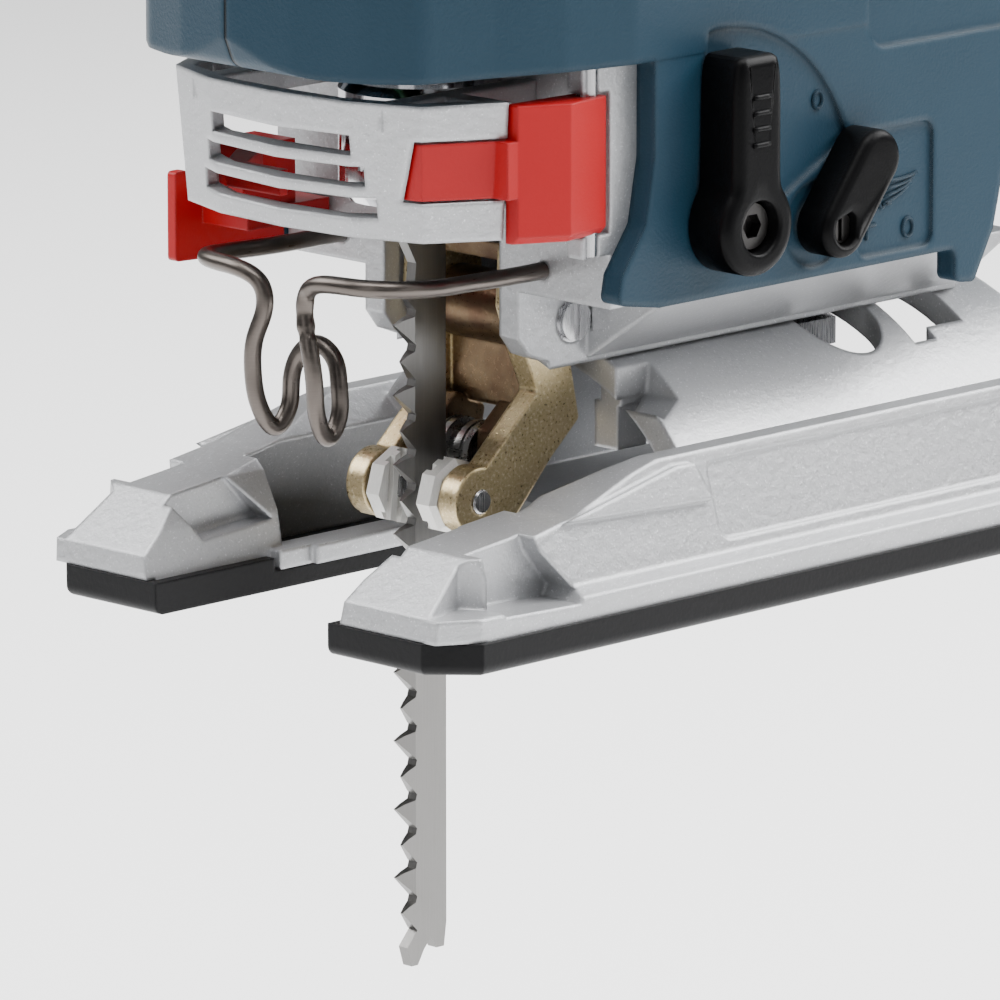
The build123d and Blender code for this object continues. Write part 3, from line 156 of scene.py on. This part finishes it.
# %% The finish kit
class Finish:
    """A material under construction: its node tree, its shader and its coordinates."""

    def __init__(self, name, base, rough, metallic=0.0, **sockets):
        self.material = bpy.data.materials.new(name)
        self.material.use_nodes = True
        self.tree = self.material.node_tree
        self.shader = self.tree.nodes["Principled BSDF"]
        self.rough = rough
        self.shader.inputs["Base Color"].default_value = (*base, 1)
        self.shader.inputs["Roughness"].default_value = rough
        self.shader.inputs["Metallic"].default_value = metallic
        for key, value in sockets.items():
            self.shader.inputs[key.replace("_", " ")].default_value = value
        self.coords = self.tree.nodes.new("ShaderNodeTexCoord").outputs["Object"]
        self.height = None
        self.soft = None

    def node(self, kind, **settings):
        """A new node of that kind with its settings."""
        made = self.tree.nodes.new(kind)
        for key, value in settings.items():
            setattr(made, key, value)
        return made

    def link(self, source, target):
        self.tree.links.new(source, target)

    def noise(self, scale, detail=3.0, stretch=None):
        """Noise in 0..1. Stretch squeezes the pattern along the axes with large numbers."""
        source = self.coords
        if stretch:
            mapping = self.node("ShaderNodeMapping")
            mapping.inputs["Scale"].default_value = stretch
            self.link(source, mapping.inputs["Vector"])
            source = mapping.outputs["Vector"]
        made = self.node("ShaderNodeTexNoise")
        made.inputs["Scale"].default_value = scale
        made.inputs["Detail"].default_value = detail
        self.link(source, made.inputs["Vector"])
        return made.outputs["Fac"]

    def ramp(self, value, low, high, out_low=0.0, out_high=1.0):
        """Maps low..high to out_low..out_high and holds the ends."""
        made = self.node("ShaderNodeMapRange", clamp=True)
        for key, number in zip(("From Min", "From Max", "To Min", "To Max"),
                               (low, high, out_low, out_high)):
            made.inputs[key].default_value = number
        self.link(value, made.inputs["Value"])
        return made.outputs["Result"]

    def math(self, kind, first, second):
        """Arithmetic on two inputs, each a number or another node's output."""
        made = self.node("ShaderNodeMath", operation=kind)
        for socket, value in zip(made.inputs, (first, second)):
            if isinstance(value, (int, float)):
                socket.default_value = value
            else:
                self.link(value, socket)
        return made.outputs["Value"]

    def tint(self, mask, color):
        """Blends the colour so far towards another one where the mask is high."""
        made = self.node("ShaderNodeMix", data_type="RGBA")
        source = self.shader.inputs["Base Color"]
        if source.links:
            self.link(source.links[0].from_socket, made.inputs[6])
        else:
            made.inputs[6].default_value = source.default_value
        made.inputs[7].default_value = (*color, 1)
        self.link(mask, made.inputs[0])
        self.link(made.outputs[2], source)

    def band(self, axis, near, far):
        """1 where the distance from the axis's zero is below near, fading to 0 at far."""
        split = self.node("ShaderNodeSeparateXYZ")
        self.link(self.coords, split.inputs["Vector"])
        return self.ramp(self.math("ABSOLUTE", split.outputs[axis], 0), near, far, 1.0, 0.0)

    def gloss(self, value, spread):
        """Roughness wanders by spread either side of its middle value."""
        self.link(self.ramp(value, 0.25, 0.75, self.rough - spread, self.rough + spread),
                  self.shader.inputs["Roughness"])

    def relief(self, value, depth):
        """Adds a height pattern, depth in metres from trough to crest."""
        scaled = self.math("MULTIPLY", value, depth)
        self.height = scaled if self.height is None else self.math("ADD", self.height, scaled)

    def round_edges(self, radius):
        """Light turns softly round every hard edge, as if it had this radius."""
        made = self.node("ShaderNodeBevel", samples=6)
        made.inputs["Radius"].default_value = radius
        self.soft = made.outputs["Normal"]

    def done(self):
        """Joins relief and softened edges to the shader, and gives the material."""
        if self.soft is not None and self.height is None:
            self.link(self.soft, self.shader.inputs["Normal"])
        if self.height is not None:
            bump = self.node("ShaderNodeBump")
            if self.soft is not None:
                self.link(self.soft, bump.inputs["Normal"])
            bump.inputs["Strength"].default_value = 1.0
            bump.inputs["Distance"].default_value = 1.0
            self.link(self.height, bump.inputs["Height"])
            self.link(bump.outputs["Normal"], self.shader.inputs["Normal"])
        return self.material


def wear(*names):
    """The named solids take the finish: used as wear('a', 'b')(finish)."""
    def apply(material):
        for name in names:
            slots = nodes[name].data.materials
            slots.clear()
            slots.append(material)
    return apply


# %% [markdown]
# ## Moulded plastics
# The housing is glass-filled nylon from a spark-eroded mould: the whole surface
# is a fine, even pimple that scatters the light. Two noises do it, one for the
# pimples and one much wider for the slow drift of gloss that handling leaves.

# %% Plastic finishes
SEAM_HALF, SEAM_FADE = 0.00010, 0.00022


def moulded(name, base, rough, grain=2600.0, depth=0.00004, drift=0.12, edge=0.0004,
            seam=False, **sockets):
    """Plastic from a pimpled mould: grain sets the pimples' size, depth their height."""
    f = Finish(name, base, rough, **sockets)
    pimple = f.noise(grain, 2.0)
    wide = f.noise(55.0, 4.0)
    f.tint(f.ramp(wide, 0.35, 0.75, 0.0, drift), tuple(min(c * 1.6 + 0.01, 1) for c in base))
    f.tint(f.ramp(pimple, 0.55, 0.8, 0.0, 0.10), tuple(c * 0.55 for c in base))
    f.gloss(wide, 0.05)
    f.relief(pimple, depth)
    if seam:
        # the hair line where the two halves of the shell meet
        line = f.band("Y", SEAM_HALF, SEAM_FADE)
        f.tint(line, tuple(c * 0.25 for c in base))
        f.relief(line, -0.00015)
    f.round_edges(edge)
    return f.done()


blue = moulded("blue_nylon", (0.0075, 0.0275, 0.046), 0.44, edge=0.0012, seam=True,
               Specular_IOR_Level=0.22)
black = moulded("black_nylon", (0.0022, 0.0022, 0.0025), 0.36, grain=3400.0, depth=0.00002,
                drift=0.02, Specular_IOR_Level=0.07)
shoe_black = moulded("black_shoe", (0.0045, 0.0045, 0.005), 0.45, grain=1800.0, depth=0.00003,
                     Specular_IOR_Level=0.14)
rubber = moulded("grip_rubber", (0.009, 0.009, 0.010), 0.72, grain=1500.0, depth=0.00008,
                 Specular_IOR_Level=0.3)
red = moulded("red_nylon", (0.33, 0.003, 0.005), 0.42, grain=3200.0, depth=0.00002, drift=0.04,
              Specular_IOR_Level=0.28)
board_green = moulded("circuit_board", (0.01, 0.09, 0.03), 0.35, grain=900.0, depth=0.00001)
dull_carbon = moulded("carbon", (0.015, 0.015, 0.015), 0.6)

wear("housing_left", "housing_right")(blue)
wear("orbital_lever", "blower_switch", "trigger", "lock_button", "speed_wheel", "bevel_lever",
     "switch_module", "dust_port", "cooling_fan")(black)
wear("base_shoe")(shoe_black)
wear("handle_grip", "cord_gland")(rubber)
wear("release_lever", "release_band")(red)
wear("led_board", "speed_electronics")(board_green)
wear("carbon_brushes")(dull_carbon)
print("plastics:", [m.name for m in (blue, black, shoe_black, rubber, red, board_green, dull_carbon)])

# %% [markdown]
# ## Metals
# The castings are painted silver: tiny flakes in a clear coat, so the colour
# sparkles in points smaller than a grain of salt and the surface has a slight
# orange peel. Springs, pins and the blade are bare steel with fine lines along
# one axis: noise whose scale is small on that axis draws them. The blade guide is
# zinc plated and dipped in yellow chromate, which dries speckled.

# %% Metal finishes
def cast_paint(name, base=(0.42, 0.425, 0.435), rough=0.42, edge=0.0007):
    """Silver paint on a casting: bright and dark flakes over a slight orange peel."""
    f = Finish(name, base, rough, metallic=0.7)
    flake = f.noise(3800.0, 2.0)
    peel = f.noise(950.0, 2.0)
    wide = f.noise(30.0, 3.0)
    f.tint(f.ramp(flake, 0.62, 0.8, 0.0, 0.8), (0.88, 0.89, 0.91))
    f.tint(f.ramp(flake, 0.42, 0.22, 0.0, 0.6), (0.26, 0.265, 0.275))
    f.tint(f.ramp(wide, 0.4, 0.7, 0.0, 0.15), (0.60, 0.60, 0.61))
    f.gloss(flake, 0.08)
    f.relief(peel, 0.00006)
    f.relief(flake, 0.00001)
    f.round_edges(edge)
    return f.done()


def drawn_steel(name, base, rough, stretch=(1.0, 1.0, 0.04), grain=5000.0, depth=0.000006,
                stain=0.15, metallic=1.0):
    """Bare metal with fine lines along the axis whose stretch is small."""
    f = Finish(name, base, rough, metallic=metallic)
    line = f.noise(grain, 2.0, stretch=stretch)
    wide = f.noise(120.0, 4.0)
    f.tint(f.ramp(wide, 0.5, 0.8, 0.0, stain), tuple(c * 0.5 for c in base))
    f.tint(f.ramp(line, 0.45, 0.75, 0.0, 0.3), tuple(min(c * 1.35, 1) for c in base))
    f.gloss(line, 0.07)
    f.relief(line, depth)
    return f.done()


# the band about the fork's middle plane that takes the painted shade of the inner web
WEB_SHADE_HALF, WEB_SHADE_FADE = 0.0056, 0.0061


def chromate(name):
    """Yellow chromate: light and dark specks, cloudy, and painted brown shade on the inner web."""
    f = Finish(name, (0.56, 0.45, 0.25), 0.34, metallic=0.85)
    speck = f.noise(2600.0, 3.0)
    cloud = f.noise(160.0, 3.0)
    f.tint(f.ramp(speck, 0.55, 0.72, 0.0, 0.85), (0.86, 0.76, 0.52))
    f.tint(f.ramp(speck, 0.45, 0.3, 0.0, 0.7), (0.34, 0.25, 0.12))
    f.tint(f.ramp(cloud, 0.45, 0.75, 0.0, 0.3), (0.60, 0.46, 0.30))
    # painted shade and painted reflection: the web between the plates is darkened brown, as it lies in
    # shadow behind the blade
    painted_web_shade = f.math("MULTIPLY", f.band("Y", WEB_SHADE_HALF, WEB_SHADE_FADE),
                    f.ramp(cloud, 0.25, 0.6, 0.75, 1.0))
    f.tint(painted_web_shade, (0.10, 0.055, 0.03))
    f.gloss(speck, 0.1)
    f.relief(speck, 0.00002)
    f.round_edges(0.0005)
    return f.done()


# %% Give the metals to their pieces
silver = cast_paint("silver_paint")
steel = drawn_steel("ground_steel", (0.50, 0.50, 0.51), 0.26)
jaw_steel = drawn_steel("jaw_steel", (0.74, 0.73, 0.70), 0.45, metallic=0.45)
roller_steel = drawn_steel("roller_steel", (0.30, 0.295, 0.29), 0.30, stretch=(1.0, 0.04, 1.0))
blade_steel = drawn_steel("blade_steel", (0.19, 0.186, 0.18), 0.36, stretch=(1.0, 1.0, 0.02))
wire_steel = drawn_steel("spring_wire", (0.115, 0.10, 0.09), 0.34, stretch=(0.1, 0.1, 1.0))
dark_steel = drawn_steel("blackened_steel", (0.06, 0.058, 0.057), 0.36)
polished = drawn_steel("polished_steel", (0.70, 0.70, 0.72), 0.12, depth=0.000002, stain=0.05)
iron = drawn_steel("stacked_sheets", (0.18, 0.18, 0.18), 0.45, stretch=(1.0, 0.02, 0.02))
copper = drawn_steel("enamelled_copper", (0.55, 0.20, 0.08), 0.3, stretch=(0.05, 1.0, 1.0))
bronze = drawn_steel("sintered_bronze", (0.42, 0.26, 0.12), 0.5)
brass = drawn_steel("drawn_brass", (0.60, 0.44, 0.18), 0.3)
gold = chromate("yellow_chromate")

wear("gear_case", "front_cover", "base_casting")(silver)
wear("fork_pivot_pin", "gear_arbor", "release_pin", "trigger_pin", "speed_wheel_pin", "plunger",
     "drive_gear", "armature_shaft", "roller_pin", "jaw_pin_left", "jaw_pin_right", "shoe_screws",
     "bevel_lever_pin", "tilt_clamp_plate")(steel)
wear("guide_jaw_left", "guide_jaw_right")(jaw_steel)
wear("guide_roller")(roller_steel)
wear("blade_clamp", "front_bearing", "rear_bearing", "crank_pin")(polished)
wear("saw_blade")(blade_steel)
wear("guard_wire")(wire_steel)
wear("housing_screws", "orbital_screw", "blower_screw", "tilt_clamp_bolt")(dark_steel)
wear("guide_fork")(gold)
wear("motor_field", "armature_core")(iron)
wear("field_coils", "armature_windings", "commutator")(copper)
wear("plunger_bushes")(bronze)
wear("brush_holders")(brass)

# %% [markdown]
# ## The lamp's lens
# A small lamp shines on the cut through a clear moulded lens. Clear plastic is
# mostly transmission, and a faint ripple keeps its highlight from being perfect.

# %% Lens
lens_clear = Finish("clear_lens", (0.95, 0.97, 1.0), 0.08, Transmission_Weight=0.9)
lens_clear.relief(lens_clear.noise(600.0, 1.0), 0.00002)
wear("led_lens")(lens_clear.done())
print(len(bpy.data.materials), "finishes made")

# %% [markdown]
# ## Surfaces from two parameters
# The small formed parts are each one grid of points: one index runs round the
# part, the other runs along it, or on a plate from the hidden back over the
# rounded edge to the middle of the face. A grid keeps every quad in order, so
# normals and smoothing come out right with no repair.

# %% Grid to mesh
def surface(name, points, material, body, close_ends=True, wrap_rows=False):
    """points[k, i] is ring k, place i; each ring is closed. Ends are capped by their middles."""
    rings, count = points.shape[:2]
    verts = points.reshape(-1, 3)
    k = np.arange(rings if wrap_rows else rings - 1)[:, None]
    i = np.arange(count)[None, :]
    onward = (i + 1) % count
    this_ring, next_ring = k * count, ((k + 1) % rings) * count
    quads = np.stack([this_ring + i, next_ring + i, next_ring + onward, this_ring + onward], -1)
    quads = quads.reshape(-1, 4)
    faces = quads.tolist()
    if close_ends:
        verts = np.vstack([verts, points[0].mean(0), points[-1].mean(0)])
        first, last = rings * count, rings * count + 1
        ring = np.arange(count)
        after = (ring + 1) % count
        faces += np.stack([ring, after, np.full(count, first)], -1).tolist()
        top = (rings - 1) * count
        faces += np.stack([top + after, top + ring, np.full(count, last)], -1).tolist()
    mesh = bpy.data.meshes.new(name)
    mesh.from_pydata(verts.tolist(), [], faces)
    mesh.polygons.foreach_set("use_smooth", np.ones(len(mesh.polygons), bool))
    mesh.materials.append(material)
    mesh.update()
    piece = bpy.data.objects.new(name, mesh)
    bpy.context.scene.collection.objects.link(piece)
    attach(piece, body)
    print(name, len(verts), "points", len(faces), "faces")
    return piece


# %% [markdown]
# ## The two side levers
# Each lever is a thick moulded plate with a generous round to its edge and a
# deep well over the pivot screw. From above, its outline is a closed curve; the
# plate is that curve carried outward from the housing, then drawn in along its
# own normal round a quarter circle, then shrunk onto the rim of the well and
# down its wall. One formula makes both levers: only the outline differs.

# %% Lever outlines
def keyhole(radius, half_width, reach, count=240):
    """Distance from the pivot by angle: the smooth larger of a circle and a rounded bar."""
    turn_by = np.linspace(0, 2 * np.pi, count, endpoint=False)
    across, along = np.abs(np.cos(turn_by)), np.maximum(np.sin(turn_by), 1e-3)
    bar = ((across / half_width) ** 9 + (along / reach) ** 9) ** (-1 / 9)
    bar = np.where(np.sin(turn_by) > 0, bar, 0.1)
    far = (bar ** 14 + radius ** 14) ** (1 / 14)
    return np.stack([far * np.cos(turn_by), far * np.sin(turn_by)], -1)


def capsule(radius, reach, lean, count=160):
    """Two half circles joined by straight runs, leaning by an angle from upright."""
    turn_by = np.linspace(0, 2 * np.pi, count, endpoint=False)
    shape = np.stack([radius * np.cos(turn_by), radius * np.sin(turn_by)], -1)
    shape[:, 1] += reach * (np.sin(turn_by) > 0)
    lay = np.array([[np.cos(lean), -np.sin(lean)], [np.sin(lean), np.cos(lean)]])
    return shape @ lay


def lever_plate(outline, pivot, back, thick, edge, well, depth):
    """Rings: back, wall, quarter round of the edge, face, rim of the well, its wall, its floor.

    Insetting moves each point against the outline's outward normal."""
    along = np.roll(outline, -1, 0) - np.roll(outline, 1, 0)
    normal = np.stack([along[:, 1], -along[:, 0]], -1)
    normal /= np.linalg.norm(normal, axis=1, keepdims=True)
    sweep = np.linspace(0, np.pi / 2, 9)[:, None, None]
    face = back - thick
    hub = outline / np.linalg.norm(outline, axis=1, keepdims=True)
    rounded = outline - normal * edge * (1 - np.cos(sweep))
    inner = rounded[-1]
    rows = [(outline, back), (outline, face + edge)]
    rows += [(r, face + edge - edge * np.sin(s[0, 0])) for r, s in zip(rounded, sweep)]
    rows += [(inner * (1 - t) + hub * (well + 0.35) * t, face) for t in (0.3, 0.6, 0.85, 1.0)]
    rows += [(hub * (well + 0.1), face + 0.1), (hub * well, face + 0.35),
             (hub * well, face + depth - 0.2), (hub * (well - 0.2), face + depth)]
    flat = np.array([np.column_stack([r[:, 0] + pivot[0], np.full(len(r), y), r[:, 1] + pivot[1]])
                     for r, y in rows])
    return flat[:, ::-1] * MM


# %% Make the levers
LEVER_BACK = -29.5
ORBITAL_THICK, BLOWER_THICK = 5.9, 4.7
BLOWER_LEAN = math.radians(38)
orbital_points = lever_plate(keyhole(radius=5.6, half_width=3.7, reach=19.4), pivot=(18.0, 44.6),
                             back=LEVER_BACK, thick=ORBITAL_THICK, edge=1.3, well=3.0, depth=3.4)
orbital_plate = surface("orbital_lever_plate", orbital_points, black, "orbital_lever")
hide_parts("orbital_lever")
blower_points = lever_plate(capsule(radius=3.4, reach=9.1, lean=BLOWER_LEAN), pivot=(33.5, 42.2),
                            back=LEVER_BACK, thick=BLOWER_THICK, edge=1.1, well=1.95, depth=2.0)
blower_plate = surface("blower_switch_plate", blower_points, black, "blower_switch")
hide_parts("blower_switch")

# %% [markdown]
# ## Raised marks
# The mould has shallow engraved marks, which stand proud on the plastic: rings
# for off, a stroke for on, and a fan of air jets for the blower. Each is a low
# half-round bead carried along a flat path, half sunk in the panel so that it has
# no gap below. The orbital lever has four more such beads, for the finger.

# %% The marks
def bead(path, y, half_width, height, closed):
    """A half-ellipse profile carried along a path in an upright plane facing -Y."""
    path = np.asarray(path, float)
    ahead = (np.roll(path, -1, 0) - np.roll(path, 1, 0)) if closed else np.gradient(path, axis=0)
    side = np.stack([ahead[:, 1], -ahead[:, 0]], -1)
    side /= np.linalg.norm(side, axis=1, keepdims=True)
    arc = np.linspace(0, 2 * np.pi, 10, endpoint=False)
    out = half_width * np.cos(arc)
    rise = height * np.sin(arc)
    flat = path[:, None, :] + side[:, None, :] * out[None, :, None]
    deep = np.broadcast_to(y - rise, flat.shape[:2])
    return np.stack([flat[..., 0], deep, flat[..., 1]], -1) * MM


def ring_path(x, z, rx, rz, count=28):
    """An upright oval round a middle, half axes rx and rz, as x and z."""
    turn_by = np.linspace(0, 2 * np.pi, count, endpoint=False)
    return np.stack([x + rx * np.cos(turn_by), z + rz * np.sin(turn_by)], -1)


def stroke(x0, z0, x1, z1, count=6, bow=0.0):
    """A straight or slightly bowed run between two points."""
    t = np.linspace(0, 1, count)[:, None]
    line = np.array([[x0, z0]]) * (1 - t) + np.array([[x1, z1]]) * t
    sideways = np.array([[z1 - z0, x0 - x1]])
    return line + sideways * bow * 4 * t * (1 - t)


# %% Make the marks
SUNK_FACE = -28.8
MARK_HALF, MARK_RISE = 0.22, 0.22
RIB_HALF, RIB_STEP, RIB_LOWEST = 0.3, 1.8, 54.0
marks = [("off_ring_dial", ring_path(34.1, 56.2, 0.75, 0.95), True),
         ("off_ring_blower", ring_path(49.3, 39.6, 0.85, 1.05), True),
         ("on_stroke_blower", stroke(46.7, 49.7, 46.7, 47.7), False),
         ("corner_mark_a", stroke(42.4, 39.0, 42.4, 40.6), False),
         ("corner_mark_b", stroke(42.4, 40.6, 43.9, 40.6), False)]
for k in range(4):
    jet = stroke(45.0 + 0.2 * k, 42.8 + 0.9 * k, 49.2 + 0.5 * k, 44.4 + 0.45 * k, count=8, bow=0.05)
    marks.append((f"air_jet_{k}", jet, False))
turns = np.linspace(0.9, 5.4, 40)
ripple = 0.28 * np.cos(7 * turns)
cloud = np.stack([45.2 + (1.5 + ripple) * np.cos(turns), 44.6 + (2.0 + ripple) * np.sin(turns)], -1)
marks.append(("air_cloud", cloud, False))
for name, path, closed in marks:
    surface(name, bead(path, SUNK_FACE, MARK_HALF, MARK_RISE, closed), blue, "tool",
            close_ends=not closed, wrap_rows=closed)
for k in range(4):
    height = RIB_LOWEST + RIB_STEP * k
    rib = bead(stroke(16.6, height, 19.2, height), LEVER_BACK - ORBITAL_THICK, RIB_HALF, RIB_HALF, False)
    surface(f"lever_rib_{k}", rib, black, "orbital_lever")

# %% [markdown]
# ## The cable sleeve
# Where the supply cable leaves the handle, a rubber sleeve keeps it from being
# bent sharply. It tapers and is ringed with ribs, so it gives more towards its
# tip. It is a profile turned about the cable's axis: radius as a function of the
# distance out, with the bore's wall coming back inside it.

# %% The sleeve
def sleeve(x0, x1, z, bore, count=64):
    """A round profile: its radius falls from flange to tip, and ribs are a power of a cosine."""
    t = np.linspace(0, 1, 90)
    x = x0 + (x1 - x0) * t
    flange = 2.3 / (1 + np.exp((x - x0 - 2.7) * 9))
    ribs = 0.45 * np.maximum(np.cos(2 * np.pi * (x - x0) / 3.1), 0) ** 1.5 * (t > 0.2)
    outer = 7.0 - 0.9 * t + flange + ribs
    mouth_and_bore = [[x1, outer[-1] - 0.5], [x1, bore + 0.3], [x1 - 0.3, bore], [x0, bore]]
    profile = np.concatenate([np.stack([x, outer], -1), mouth_and_bore])
    turn_by = np.linspace(0, 2 * np.pi, count, endpoint=False)
    r = profile[:, 1][:, None]
    return np.stack([np.broadcast_to(profile[:, 0][:, None], (len(profile), count)),
                     r * np.cos(turn_by), z + r * np.sin(turn_by)], -1) * MM


sleeve_points = sleeve(x0=192.0, x1=214.0, z=140.0, bore=4.2)[:, ::-1]
cable_sleeve = surface("cable_sleeve", sleeve_points, rubber, "tool",
                       close_ends=False, wrap_rows=True)
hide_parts("cord_gland")
